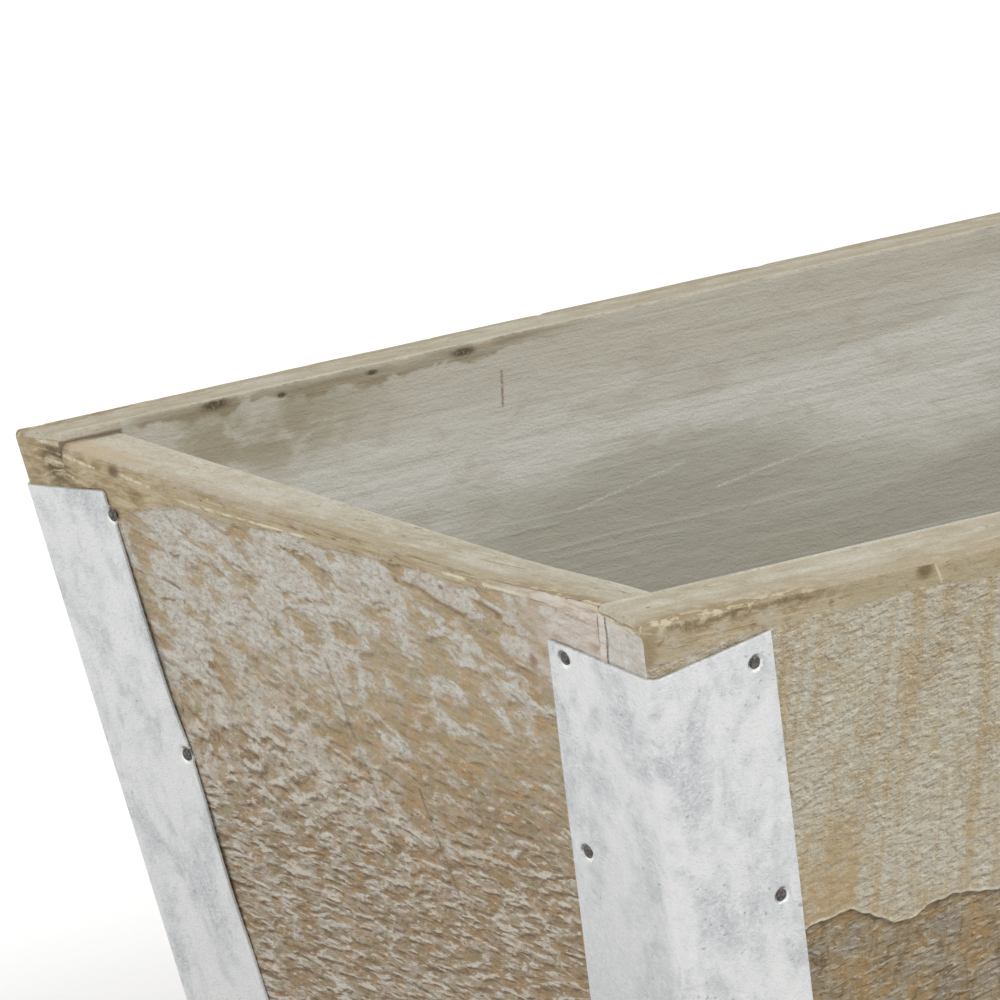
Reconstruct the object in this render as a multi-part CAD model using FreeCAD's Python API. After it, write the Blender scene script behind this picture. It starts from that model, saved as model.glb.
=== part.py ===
import FreeCAD, Part
import math
import os

os.makedirs("parts", exist_ok=True)

V = FreeCAD.Vector

# Outside of the box, measured at the outer edge of the rim (millimetres, degrees)
rim_length = 405.0
rim_width = 152.0
box_height = 127.0
end_lean = 13.6
side_lean = 8.0

# Boards
board_thick = 11.5
base_thick = 9.0
corner_round = 2.0
rim_round = 1.3
inner_ease = 0.6

# Corner straps: one folded strip of sheet each
sheet_thick = 0.6
bend_inside = 1.4
end_leg = 23.2
side_leg = 22.9
strap_inset = 8.9
strap_skew = 1.4
clip_across = 3.8
clip_down = 4.6

# Strap nails: countersunk heads set just under the face of the sheet
nail_head = 2.3
nail_shank = 1.3
nail_length = 9.0
nail_point = 1.6
nail_sink = 0.15
nail_gap = 0.05
nail_sides = 12

# Rows of strap nails, as shares of the strap's run between its first and last place for a nail
nail_margin = 3.5
front_end_shares = [0.0, 0.315, 0.65, 0.985]
front_side_shares = [0.018, 0.397, 0.705, 0.975]
back_end_shares = [0.0, 0.375, 0.688, 0.985]
other_shares = [0.006, 0.328, 0.66, 0.985]
corner_brad_shares = [0.16, 0.496, 0.823]

# How far each row stands from the fold
front_end_across = 19.9
front_side_across = 19.1
back_end_across = 21.4
other_across = 19.4

# Brads that hold the butt joints and the base
brad_wide = 1.3
brad_thick = 1.0
brad_head = 2.0
brad_head_deep = 0.5
brad_length = 28.0
brad_point = 1.5
brad_sink = 0.35
brad_gap = 0.05
base_brads_long = 4
base_brads_end = 2
base_brad_margin = 42.0

sin_e = math.sin(math.radians(end_lean))
cos_e = math.cos(math.radians(end_lean))
tan_e = math.tan(math.radians(end_lean))
sin_s = math.sin(math.radians(side_lean))
cos_s = math.cos(math.radians(side_lean))
tan_s = math.tan(math.radians(side_lean))

half_length = rim_length / 2
half_width = rim_width / 2
fold_length = box_height * math.sqrt(1 + tan_e ** 2 + tan_s ** 2)
strap_run = fold_length - 2 * strap_inset
near_share = 0.001
near_zero = board_thick * near_share


def half_x(z, inward):
    """Half the length of the box at height z, a level distance inside the outer end faces."""
    return half_length - (box_height - z) * tan_e - inward


def half_y(z, inward):
    """Half the width of the box at height z, a level distance inside the outer side faces."""
    return half_width - (box_height - z) * tan_s - inward


def down_fold(share):
    """The place of a row down the fold, from its share of the run that nails can take."""
    return strap_inset + nail_margin + share * (strap_run - 2 * nail_margin)


def prism(points, along):
    """A solid from a closed outline pushed along a vector."""
    outline = Part.makePolygon(points + [points[0]])
    return Part.Face(outline).extrude(along)


def between_ends(inward, low, high):
    """The space between two leaning planes set inside the outer end faces."""
    reach = rim_width
    points = [
        V(-half_x(low, inward), -reach, low),
        V(half_x(low, inward), -reach, low),
        V(half_x(high, inward), -reach, high),
        V(-half_x(high, inward), -reach, high),
    ]
    return prism(points, V(0, 2 * reach, 0))


def between_sides(inward, low, high):
    """The space between two leaning planes set inside the outer side faces."""
    reach = rim_length
    points = [
        V(-reach, -half_y(low, inward), low),
        V(-reach, half_y(low, inward), low),
        V(-reach, half_y(high, inward), high),
        V(-reach, -half_y(high, inward), high),
    ]
    return prism(points, V(2 * reach, 0, 0))


def corner_frame(sx, sy):
    """The corner at the rim with its fold direction, outward normals and in-face directions."""
    top = V(sx * half_length, sy * half_width, box_height)
    fold = V(-sx * tan_e, -sy * tan_s, -1).normalize()
    end_out = V(sx * cos_e, 0, -sin_e)
    side_out = V(0, sy * cos_s, -sin_s)
    end_in = end_out.cross(fold).normalize()
    if end_in.y * sy > 0:
        end_in = end_in.negative()
    side_in = side_out.cross(fold).normalize()
    if side_in.x * sx > 0:
        side_in = side_in.negative()
    return {
        "top": top,
        "fold": fold,
        "end": (end_out, end_in),
        "side": (side_out, side_in),
    }


def on_leg(frame, leg, across, down, out):
    """A point over one face: across from the fold, down the fold, out from the face."""
    normal, inward = frame[leg]
    return frame["top"] + frame["fold"] * down + inward * across + normal * out


def on_plane(edge, origin, normal):
    """Whether both ends of an edge lie on a plane."""
    return all(abs((v.Point - origin).dot(normal)) < near_zero for v in edge.Vertexes)


def rounded(shape, planes, radius):
    """Rounds the edge where two planes meet."""
    (origin_a, normal_a), (origin_b, normal_b) = planes
    picked = []
    for edge in shape.Edges:
        if on_plane(edge, origin_a, normal_a) and on_plane(edge, origin_b, normal_b):
            picked.append(edge)
    return shape.makeFillet(radius, picked)


def ring(origin, axis, radius, height):
    """The corners of one level of a many-sided nail or its hole."""
    side = axis.cross(V(0, 0, 1)).normalize()
    other = axis.cross(side)
    points = []
    for i in range(nail_sides):
        turn = 2 * math.pi * i / nail_sides
        points.append(origin + axis * height + (side * math.cos(turn) + other * math.sin(turn)) * radius)
    return points


def turned(outline, origin, axis):
    """A many-sided solid about an axis from a list of (radius, height along the axis) points."""
    levels = [ring(origin, axis, radius, height) for radius, height in outline]
    faces = []
    for i in range(len(outline) - 1):
        radius_a, height_a = outline[i]
        radius_b, height_b = outline[i + 1]
        low = levels[i]
        high = levels[i + 1]
        if height_a == height_b and radius_a * radius_b == 0:
            rim = low if radius_b == 0 else high
            faces.append(Part.Face(Part.makePolygon(rim + [rim[0]])))
            continue
        for j in range(nail_sides):
            k = (j + 1) % nail_sides
            if radius_b == 0:
                loop = [low[j], low[k], high[j], low[j]]
            else:
                loop = [low[j], low[k], high[k], high[j], low[j]]
            faces.append(Part.Face(Part.makePolygon(loop)))
    solid = Part.Solid(Part.Shell(faces))
    if solid.Volume < 0:
        solid.reverse()
    return solid


def strap_nail(frame, leg, across, down):
    """A nail with a countersunk head, driven square to the face through the sheet."""
    face_point = on_leg(frame, leg, across, down, 0)
    outline = [
        (0, sheet_thick - nail_sink),
        (nail_head / 2, sheet_thick - nail_sink),
        (nail_shank / 2, 0),
        (nail_shank / 2, nail_point - nail_length),
        (0, -nail_length),
    ]
    return turned(outline, face_point, frame[leg][0])


def sheet_hole(frame, leg, across, down):
    """The countersunk hole that a strap nail sits in."""
    face_point = on_leg(frame, leg, across, down, 0)
    wide = nail_head / 2 + nail_gap
    narrow = nail_shank / 2 + nail_gap
    outline = [
        (0, sheet_thick + nail_head),
        (wide, sheet_thick + nail_head),
        (wide, sheet_thick - nail_sink),
        (narrow, 0),
        (narrow, -nail_head),
        (0, -nail_head),
    ]
    return turned(outline, face_point, frame[leg][0])


def nail_hole(frame, leg, across, down):
    """The hole that a strap nail leaves in the wood."""
    face_point = on_leg(frame, leg, across, down, 0)
    radius = nail_shank / 2 + nail_gap
    outline = [
        (0, nail_head),
        (radius, nail_head),
        (radius, nail_point - nail_length),
        (0, -nail_length - nail_gap),
    ]
    return turned(outline, face_point, frame[leg][0])


def brad(origin, inward, wide_way, gap):
    """A flat brad with a small head and a chisel point; a gap above zero makes its hole."""
    shank = brad_wide / 2 + gap
    head = brad_head / 2 + gap
    start = brad_sink - gap
    if gap > 0:
        start = -brad_head
    neck = brad_sink + brad_head_deep + gap
    end = brad_sink + brad_length + gap
    outline = [
        (-head, start),
        (head, start),
        (head, neck),
        (shank, neck),
        (shank, end - brad_point),
        (gap, end),
        (-gap, end),
        (-shank, end - brad_point),
        (-shank, neck),
        (-head, neck),
    ]
    if gap == 0:
        outline = [p for i, p in enumerate(outline) if i != 6]
    thick_way = inward.cross(wide_way).normalize()
    half = brad_thick / 2 + gap
    corner = origin - thick_way * half
    points = [corner + wide_way * wide + inward * deep for wide, deep in outline]
    return prism(points, thick_way * (2 * half))


# Which rows of nails each corner's two legs get
corners = {
    "front_left": (-1, -1),
    "front_right": (1, -1),
    "back_left": (-1, 1),
    "back_right": (1, 1),
}
nail_rows = {
    ("front_left", "end"): (front_end_across, front_end_shares),
    ("front_left", "side"): (front_side_across, front_side_shares),
    ("back_left", "end"): (back_end_across, back_end_shares),
}
leg_wide = {"end": end_leg, "side": side_leg}
frames = {name: corner_frame(sx, sy) for name, (sx, sy) in corners.items()}


def strap_nail_places(name):
    """Every (leg, across, down) where a strap nail goes at one corner."""
    places = []
    for leg in ("end", "side"):
        across, shares = nail_rows.get((name, leg), (other_across, other_shares))
        places += [(leg, across, down_fold(share)) for share in shares]
    return places


def corner_brad_places(name):
    """Start, direction and width direction of the brads through a long board into an end board."""
    frame = frames[name]
    normal = frame["side"][0]
    places = []
    for share in corner_brad_shares:
        start = on_leg(frame, "side", board_thick / 2, down_fold(share), 0)
        places.append((start, normal.negative(), frame["fold"]))
    return places


def base_brad_places(wall):
    """Start, direction and width direction of the brads through one wall into the base."""
    z = base_thick / 2
    places = []
    if wall in ("front", "back"):
        sy = -1 if wall == "front" else 1
        run = 2 * (half_x(0, 0) - base_brad_margin)
        for i in range(base_brads_long):
            x = -run / 2 + run * i / (base_brads_long - 1)
            places.append((V(x, sy * half_y(z, 0), z), V(0, -sy, 0), V(1, 0, 0)))
    else:
        sx = -1 if wall == "left" else 1
        run = half_y(0, 0)
        for i in range(base_brads_end):
            y = -run / 2 + run * i / (base_brads_end - 1)
            places.append((V(sx * half_x(z, 0), y, z), V(-sx, 0, 0), V(0, 1, 0)))
    return places


# Boards
board_top = box_height + board_thick
level_side = board_thick / cos_s
level_end = board_thick / cos_e


def long_board(sy):
    """A side board over the full length, square-cut along its rim and flush at the ends."""
    outline = [
        (half_width, box_height),
        (half_width - board_thick * cos_s, box_height + board_thick * sin_s),
        (half_y(0, level_side), 0),
        (half_y(0, 0), 0),
    ]
    reach = rim_length
    points = [V(-reach, sy * y, z) for y, z in outline]
    board = prism(points, V(2 * reach, 0, 0))
    board = board.common(between_ends(0, -board_thick, board_top))
    side_face = (V(0, sy * half_width, box_height), V(0, sy * cos_s, -sin_s))
    top_face = (V(0, sy * half_width, box_height), V(0, sy * sin_s, cos_s))
    board = rounded(board, (side_face, top_face), rim_round)
    for sx in (-1, 1):
        end_face = (V(sx * half_length, 0, box_height), V(sx * cos_e, 0, -sin_e))
        board = rounded(board, (side_face, end_face), corner_round)
    return board


def end_board(sx):
    """An end board between the side boards, its rim cut level."""
    outline = [
        (half_length, box_height),
        (half_x(box_height, level_end), box_height),
        (half_x(0, level_end), 0),
        (half_x(0, 0), 0),
    ]
    reach = rim_width
    points = [V(sx * x, -reach, z) for x, z in outline]
    board = prism(points, V(0, 2 * reach, 0))
    board = board.common(between_sides(level_side, -board_thick, board_top))
    outer_face = (V(sx * half_length, 0, box_height), V(sx * cos_e, 0, -sin_e))
    top_face = (V(0, 0, box_height), V(0, 0, 1))
    inner_face = (V(sx * half_x(box_height, level_end), 0, box_height), V(sx * cos_e, 0, -sin_e))
    board = rounded(board, (outer_face, top_face), rim_round)
    return rounded(board, (inner_face, top_face), inner_ease)


def base_board():
    """The base, its edges bevelled to the leaning walls."""
    slab = between_sides(level_side, 0, base_thick)
    return slab.common(between_ends(level_end, 0, base_thick))


def strap(name):
    """A strip of sheet folded down the leaning corner, with square-cut ends."""
    frame = frames[name]
    end_out, end_in = frame["end"]
    side_out, side_in = frame["side"]
    spread = 1 + end_out.dot(side_out)
    outer_corner = (end_out + side_out) * (sheet_thick / spread)
    start = frame["top"] + frame["fold"] * strap_inset
    outline = [
        V(0, 0, 0),
        end_in * end_leg,
        end_in * end_leg + end_out * sheet_thick,
        outer_corner,
        side_in * side_leg + side_out * sheet_thick,
        side_in * side_leg,
    ]
    sheet = prism([start + p for p in outline], frame["fold"] * strap_run)
    inner_edges = []
    outer_edges = []
    for edge in sheet.Edges:
        middle = edge.CenterOfMass - start
        middle -= frame["fold"] * middle.dot(frame["fold"])
        if edge.Length > strap_run / 2 and middle.Length < near_zero:
            inner_edges.append(edge)
    sheet = sheet.makeFillet(bend_inside, inner_edges)
    for edge in sheet.Edges:
        middle = edge.CenterOfMass - start - outer_corner
        middle -= frame["fold"] * middle.dot(frame["fold"])
        if edge.Length > strap_run / 2 and middle.Length < near_zero:
            outer_edges.append(edge)
    sheet = sheet.makeFillet(bend_inside + sheet_thick, outer_edges)
    top = strap_inset
    bottom = strap_inset + strap_run
    bend = bend_inside + sheet_thick
    for leg in ("end", "side"):
        wide = leg_wide[leg]
        over = wide + sheet_thick
        slope = strap_skew / wide
        cuts = []
        for end, away in ((top, -1), (bottom, 1)):
            cuts.append([
                (bend, end + away * over),
                (over, end + away * over),
                (over, end - away * slope * over),
                (bend, end - away * slope * bend),
            ])
        if name == "back_left" and leg == "end":
            cuts.append([
                (wide - clip_across, top),
                (over, top),
                (over, top + clip_down * over / wide),
                (wide, top + clip_down),
            ])
        for cut in cuts:
            points = [on_leg(frame, leg, a, d, -sheet_thick) for a, d in cut]
            sheet = sheet.cut(prism(points, frame[leg][0] * (3 * sheet_thick)))
    for leg, across, down in strap_nail_places(name):
        sheet = sheet.cut(sheet_hole(frame, leg, across, down))
    return sheet


nodes = {}
nodes["front_board"] = long_board(-1)
nodes["back_board"] = long_board(1)
nodes["left_end_board"] = end_board(-1)
nodes["right_end_board"] = end_board(1)
nodes["bottom_board"] = base_board()

wall_of = {
    "front": "front_board",
    "back": "back_board",
    "left": "left_end_board",
    "right": "right_end_board",
}

# Holes in the wood for every nail and brad
holes = {node: [] for node in nodes}
for name in corners:
    long_wall = wall_of[name.split("_")[0]]
    end_wall = wall_of[name.split("_")[1]]
    for leg, across, down in strap_nail_places(name):
        wall = end_wall if leg == "end" else long_wall
        holes[wall].append(nail_hole(frames[name], leg, across, down))
    for start, inward, wide_way in corner_brad_places(name):
        hole = brad(start, inward, wide_way, brad_gap)
        holes[long_wall].append(hole)
        holes[end_wall].append(hole)
for wall, node in wall_of.items():
    for start, inward, wide_way in base_brad_places(wall):
        hole = brad(start, inward, wide_way, brad_gap)
        holes[node].append(hole)
        holes["bottom_board"].append(hole)
for node, cutters in holes.items():
    nodes[node] = nodes[node].cut(Part.makeCompound(cutters))

# Straps, nails and brads
for name in corners:
    nodes["strap_" + name] = strap(name)
    nails = [strap_nail(frames[name], *place) for place in strap_nail_places(name)]
    nodes["strap_nails_" + name] = Part.makeCompound(nails)
    brads = [brad(*place, 0) for place in corner_brad_places(name)]
    nodes["corner_brads_" + name] = Part.makeCompound(brads)
for wall in wall_of:
    brads = [brad(*place, 0) for place in base_brad_places(wall)]
    nodes["base_brads_" + wall] = Part.makeCompound(brads)

for name, shape in nodes.items():
    shape.exportStep("parts/" + name + ".step")
    print(name, len(shape.Solids), shape.isValid(), round(shape.Volume, 2))
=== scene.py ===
import math

import bpy
import numpy as np
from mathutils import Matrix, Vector


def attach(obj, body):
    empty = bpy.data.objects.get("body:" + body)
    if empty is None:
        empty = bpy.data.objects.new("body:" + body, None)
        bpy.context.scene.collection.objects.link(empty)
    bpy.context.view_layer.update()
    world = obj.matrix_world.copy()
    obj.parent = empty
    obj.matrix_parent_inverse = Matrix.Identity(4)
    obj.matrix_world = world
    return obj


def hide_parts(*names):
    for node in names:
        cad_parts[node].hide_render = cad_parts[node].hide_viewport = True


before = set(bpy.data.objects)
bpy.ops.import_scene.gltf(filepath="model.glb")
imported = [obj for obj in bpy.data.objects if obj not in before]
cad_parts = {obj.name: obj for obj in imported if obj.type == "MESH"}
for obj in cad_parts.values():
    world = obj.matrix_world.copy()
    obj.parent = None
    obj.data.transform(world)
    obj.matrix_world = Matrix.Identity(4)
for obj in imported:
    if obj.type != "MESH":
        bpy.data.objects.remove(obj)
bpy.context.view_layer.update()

# Sizes in millimetres and radians. The outside, the leans and the boards are those of the solids;
# edges and sheet are a little finer, so that the worn and folded shapes stay inside the solids' box.
LENGTH, WIDTH, HEIGHT = 405.0, 152.0, 127.0
END_LEAN, SIDE_LEAN = math.radians(13.6), math.radians(8.0)
BOARD = 11.5            # board thickness
ARRIS = 1.0             # round of the long boards' ends
END_EASE = 0.03         # the same on the end boards, between the long ones
FOOT_EASE = 0.5         # how far a board's lower edges are eased
JOINT_GAP = 0.005       # between an end board and the long boards
SHOWN_JOINT = 9.8       # the dark crack on the near end grain, in from the front
TEAR = 0.48             # depth of the torn layer on the front board
TEAR_LENGTH = 212.0     # where along the front board the tear has run down to the foot
CROWN = 1.25            # how far the left end rim rises at the near corner
RIM_IN = 0.25           # the raised end rim's outer edge, in from the box's end
SHEET = 0.5             # strap thickness
CORNER = 1.4            # strap's inside bend radius
END_LEG, SIDE_LEG = 23.3, 22.55
INSET = 8.9             # strap's ends, from the rim and from the foot
STRAP_SKEW = 1.35       # how much further in the strap's cut ends are at a leg's edge
CUT_EASE = 0.12         # round of the sheet's cut edges
DIMPLE = 0.4            # how deep a nail presses the sheet in
NAIL_SIDES = 20
MM = 0.001

# The photograph's view: a long lens looking down on the near left corner
VIEW_LENS = 760.0
VIEW_PLACE = (-2.126078, -2.390032, 0.970323)
VIEW_TURN = (0.7470478, 0.5724578, -0.2008983, -0.2717565)

FOLD_RUN = HEIGHT * math.sqrt(1 + math.tan(END_LEAN) ** 2 + math.tan(SIDE_LEAN) ** 2)


def set_camera():
    data = bpy.data.cameras.new("view")
    data.sensor_width = 36.0
    data.lens = VIEW_LENS
    data.clip_start, data.clip_end = 0.1, 60.0
    camera = bpy.data.objects.new("view", data)
    camera.location = VIEW_PLACE
    camera.rotation_mode = "QUATERNION"
    camera.rotation_quaternion = VIEW_TURN
    bpy.context.scene.collection.objects.link(camera)
    bpy.context.scene.camera = camera


set_camera()


# Noise for mesh shapes: smooth lattice noise between -1 and 1

def lattice(x, y, seed):
    xi, yi = np.floor(x).astype(np.int64), np.floor(y).astype(np.int64)
    xf, yf = x - xi, y - yi
    u, v = xf * xf * (3 - 2 * xf), yf * yf * (3 - 2 * yf)

    def value(i, j):
        n = (i * 374761393 + j * 668265263 + seed * 974711) & 0xFFFFFFFF
        n = ((n ^ (n >> 13)) * 1274126177) & 0xFFFFFFFF
        return ((n ^ (n >> 16)) & 0xFFFF) / 32767.5 - 1

    low = value(xi, yi) * (1 - u) + value(xi + 1, yi) * u
    high = value(xi, yi + 1) * (1 - u) + value(xi + 1, yi + 1) * u
    return low * (1 - v) + high * v


def fractal(x, y, seed, octaves=3):
    total, size, weight = 0.0, 1.0, 0.0
    for octave in range(octaves):
        total = total + lattice(x * 2 ** octave, y * 2 ** octave, seed + 17 * octave) * size
        weight += size
        size *= 0.5
    return total / weight


def smooth(low, high, x):
    t = np.clip((x - low) / (high - low), 0, 1)
    return t * t * (3 - 2 * t)


# Shader building

class Tone:
    """One output of a node. Sums written with it add the nodes that work them out."""

    def __init__(self, shader, node, output=0):
        self.shader, self.socket = shader, node.outputs[output]

    def __add__(self, other):
        return self.shader.math("ADD", self, other)

    def __sub__(self, other):
        return self.shader.math("SUBTRACT", self, other)

    def __rsub__(self, other):
        return self.shader.math("SUBTRACT", other, self)

    def __mul__(self, other):
        return self.shader.math("MULTIPLY", self, other)

    def __truediv__(self, other):
        return self.shader.math("DIVIDE", self, other)


class Shader:
    """A material's nodes, added by short calls that return their outputs as tones."""

    def __init__(self, name):
        self.material = bpy.data.materials.new(name)
        self.material.use_nodes = True
        self.tree = self.material.node_tree
        self.nodes, self.links = self.tree.nodes, self.tree.links
        self.shader = self.nodes["Principled BSDF"]
        self.output = self.nodes["Material Output"]

    def add(self, kind, inputs=None, output=0, **settings):
        """Adds a node with its settings and inputs, and returns one of its outputs."""
        node = self.nodes.new("ShaderNode" + kind)
        for setting, value in settings.items():
            setattr(node, setting, value)
        for socket, value in (inputs or {}).items():
            self.put(node, socket, value)
        return Tone(self, node, output)

    def put(self, node, socket, value):
        if isinstance(value, Tone):
            self.links.new(value.socket, node.inputs[socket])
        elif value is not None:
            node.inputs[socket].default_value = value

    def finish(self, colour, roughness, height, depth):
        """Joins up the surface; depth is how deep its bumps are, in metres."""
        self.put(self.shader, "Base Color", colour)
        self.put(self.shader, "Roughness", roughness)
        bumps = {"Height": height, "Distance": depth, "Strength": 1.0}
        self.put(self.shader, "Normal", self.add("Bump", bumps))
        return self.material

    def math(self, op, *values, clamp=False):
        return self.add("Math", dict(enumerate(values)), operation=op, use_clamp=clamp)

    def vec(self, op, a, b):
        return self.add("VectorMath", {0: a, 1: b}, operation=op)

    def attribute(self, name, output="Vector"):
        return self.add("Attribute", output=output, attribute_name=name)

    def split(self, vector, kind="XYZ"):
        node = self.add("Separate" + kind, {0: vector}).socket.node
        return [Tone(self, node, output) for output in range(3)]

    def join(self, x, y, z):
        return self.add("CombineXYZ", {0: x, 1: y, 2: z})

    def noise(self, vector, size, detail=3.0, rough=0.55, distortion=0.0, shift=(0, 0, 0)):
        """Noise with cells of a size in millimetres along each of the three directions."""
        scaled = self.vec("MULTIPLY", self.vec("ADD", vector, shift), tuple(1 / s for s in size))
        inputs = {"Vector": scaled, "Scale": 1.0, "Detail": detail, "Roughness": rough,
                  "Distortion": distortion}
        return self.add("TexNoise", inputs, "Fac")

    def span(self, value, low, high, to_low=0.0, to_high=1.0):
        """Maps a value from one range to another with soft ends."""
        inputs = dict(enumerate((value, low, high, to_low, to_high)))
        return self.add("MapRange", inputs, interpolation_type="SMOOTHSTEP")

    def blend(self, factor, a, b):
        a, b = (tone if isinstance(tone, Tone) else (*tone, 1.0) for tone in (a, b))
        return self.add("Mix", {0: factor, 6: a, 7: b}, 2, data_type="RGBA", blend_type="MIX",
                        clamp_factor=True)

    def layers(self, colour, *layers):
        """Lays tones over a colour one after the other.

        A layer is a mask and a tone, or a value, the two ends of a range, a strength and a tone.
        """
        for *mask, tone in layers:
            if len(mask) > 1:
                value, low, high, strength = mask
                mask = [self.span(value, low, high, 0.0, strength)]
            colour = self.blend(mask[0], colour, tone)
        return colour

    def ramp(self, value, *stops):
        ramp = self.add("ValToRGB", {0: value})
        elements = ramp.socket.node.color_ramp.elements
        while len(elements) < len(stops):
            elements.new(0.5)
        for element, (place, colour) in zip(elements, stops):
            element.position, element.color = place, (*colour, 1.0)
        return ramp

    def line(self, along, down, start, end, width):
        """1 on a straight mark between two places on a face, 0 away from it."""
        (x0, y0), (x1, y1) = start, end
        run = math.hypot(x1 - x0, y1 - y0)
        ux, uy = (x1 - x0) / run, (y1 - y0) / run
        dx, dy = along - x0, down - y0
        t = dx * ux + dy * uy
        n = dx * uy - dy * ux
        over = t - self.math("MINIMUM", self.math("MAXIMUM", t, 0.0), run)
        return self.span(self.math("SQRT", n * n + over * over), width, 0.0)

    def spot(self, along, down, place, radius):
        """1 on a round mark, 0 away from it, with a soft edge."""
        dx, dy = (along - place[0]) / radius[0], (down - place[1]) / radius[1]
        return self.span(self.math("SQRT", dx * dx + dy * dy), 1.0, 0.25)

    def marks(self, along, down, lines=(), spots=()):
        """The largest of several marks: lines as start, end and width, spots as place and radius."""
        masks = [self.line(along, down, *line) for line in lines]
        masks += [self.spot(along, down, *spot) for spot in spots]
        return self.largest(*masks)

    def largest(self, *masks):
        result = masks[0]
        for mask in masks[1:]:
            result = self.math("MAXIMUM", result, mask)
        return result


# Marks on the boards, as places along (or across the end) and down. A spot is a place and its radii,
# a line is its two ends and its width.
SIDE_KNOTS = (((158, 84), (7.5, 5.0)), ((262, 33), (5.5, 4.0)), ((341, 74), (6.5, 4.5)))
NICK_SHADE = ((54.6, 0.9), (2.4, 2.2))
RIM_CHECK = ((46.5, 6.5), (37.2, 7.5), 0.35)
KNOT = ((142.5, 4.6), (5.2, 5.6))
SMALL_KNOT = ((127.7, 1.9), (2.0, 1.3))
SLIVERS = (((146.0, 1.2), (139.0, 1.9), 0.6), ((139.0, 1.9), (132.5, 2.4), 0.5),
           ((144.0, 4.2), (138.0, 5.2), 0.4), ((125.5, 2.2), (119.0, 2.6), 0.5))
BARE_PATCH = ((54, 34), (42, 23))
SCORES = (((83, 24), (74, 58), 0.5), ((66, 42), (61, 62), 0.35))
PALE_SPLINTERS_AND_HIGHLIGHTS = (((129, 4.0), (104, 3.3), 0.5), ((104, 3.3), (80, 2.7), 0.4), ((48, 1.3), (13, 1.6), 0.55))
SPECKS = (((60.4, 5.3), (1.0, 0.6)), ((49.4, 4.1), (0.9, 0.6)), ((36.4, 6.2), (1.2, 0.7)),
          ((30, 12), (1.4, 1.8)))
NICK_HIGHLIGHT = ((56.4, -0.6), (58.2, 3.6), 0.4)
DEEPER_SHADE_SPOT = ((115, 27), (38, 13))
DAMP_STAIN = ((36, 6), (34, 11))
CHIPS = (((31, 0.8), (4.2, 1.3)), ((80.3, 1.2), (3.6, 1.0)), ((44, 1.6), (1.6, 0.7)),
         ((62, 1.2), (1.8, 0.6)))
SCRATCHES = (((100, 29.5), (122, 26.0), 0.4), ((128, 31), (156, 27.5), 0.4), ((150, 23), (186, 20), 0.4))
RED_SCRATCH = ((87.5, 5.5), (87.1, 10.8), 0.45)


def wood(name, kind):
    """Whitewashed rough-sawn softwood. kind is "end", "front" or "back"; each weathered its own way."""
    s = Shader(name)
    place = s.attribute("wood")
    zone = s.attribute("zone", "Color")
    along, down, deep = s.split(place)
    rim, inner, band = s.split(zone, "Color")
    grain_end = s.attribute("zone", "Alpha")
    fine = s.noise(place, (0.55, 0.5, 0.55), 3.0, 0.7)
    broad = s.noise(place, (30, 16, 30), 3.0, 0.55, 0.3, (3, 7, 0))
    patch = s.noise(place, (6, 4.5, 6), 4.0, 0.62, 0.4, (40, 11, 5))
    chip = s.noise(place, (3.0, 1.3, 1.3), 3.0, 0.65, 0.5, (7, 3, 0))
    # Places on the end faces run on from one board to the next
    across = {"end": along, "front": deep, "back": WIDTH - deep}[kind]
    meet, pink, ochre = end_face_tones(s, across, down, fine)
    if kind == "end":
        colour, relief, splinter_and_highlight = end_outside(s, place, along, down, fine, broad, patch, pink)
        mean = 1.0
    else:
        colour, relief = side_outside(s, place, fine, patch, kind == "front")
        splinter_and_highlight, mean = None, 0.7

    olive = worn_band(s, kind, place, fine, patch, chip, meet, pink, ochre, splinter_and_highlight)
    ragged = band + (patch - 0.5) * 1.6
    ragged = ragged + (fine - 0.5) * 0.5
    banded = s.span(ragged, 0.25, 0.7) * s.span(band, 0.0, 0.25)
    colour = s.blend(banded, colour, olive)
    top, cream, sawn = rim_top(s, kind, place, across, fine, broad, patch, chip, meet)
    colour = s.layers(
        colour,
        (rim, top),
        (cream * 0.45 * (1.0 - inner), (0.62, 0.54, 0.385)),
    )
    grey, lines = inside(s, kind, place, fine, top, pink)
    colour = s.blend(inner, colour, grey)
    cut = end_grain(s, kind, place, fine, patch, chip, meet, pink, ochre)
    colour = s.blend(grain_end, colour, cut)

    calm = s.math("SUBTRACT", 1.0, s.math("MAXIMUM", s.math("MAXIMUM", rim, inner), banded * 0.8),
                  clamp=True)
    calm = calm * s.math("SUBTRACT", 1.0, grain_end * 0.7, clamp=True)
    height = (relief - mean) * calm
    soft = sawn * 0.3 + lines * 0.12
    height = height + (soft + fine * 0.1)
    height = height - banded * (chip - 0.5) * 0.6
    s.put(s.shader, "Specular IOR Level", 0.2)
    return s.finish(colour, 0.88, height, 0.0012)


def end_face_tones(s, across, down, fine):
    """Tones that run over the joints of an end face: rosy at the near corner, ochre at the far one."""
    face = s.join(across, down, 0.0)
    meet = s.noise(face, (4.0, 1.1, 1.0), 4.0, 0.66, 0.5, (3, 50, 0))
    pink = s.ramp(meet, (0.34, (0.44, 0.345, 0.27)), (0.48, (0.6, 0.525, 0.455)),
                  (0.62, (0.68, 0.64, 0.585)))
    ochre = s.ramp(meet, (0.32, (0.27, 0.195, 0.105)), (0.46, (0.395, 0.31, 0.185)),
                   (0.62, (0.5, 0.425, 0.295)))
    knot = s.spot(across, down, *KNOT) * s.span(meet, 0.62, 0.44)
    ochre = s.blend(knot * 0.9, ochre, (0.095, 0.07, 0.045))
    small_knot = s.spot(across, down, *SMALL_KNOT)
    ochre = s.blend(small_knot * 0.8, ochre, (0.11, 0.075, 0.045))
    slivers = s.marks(across, down, lines=SLIVERS)
    ochre = s.blend(slivers * s.span(fine, 0.38, 0.56, 0.1, 0.85), ochre, (0.72, 0.66, 0.51))
    return meet, pink, ochre


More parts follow.
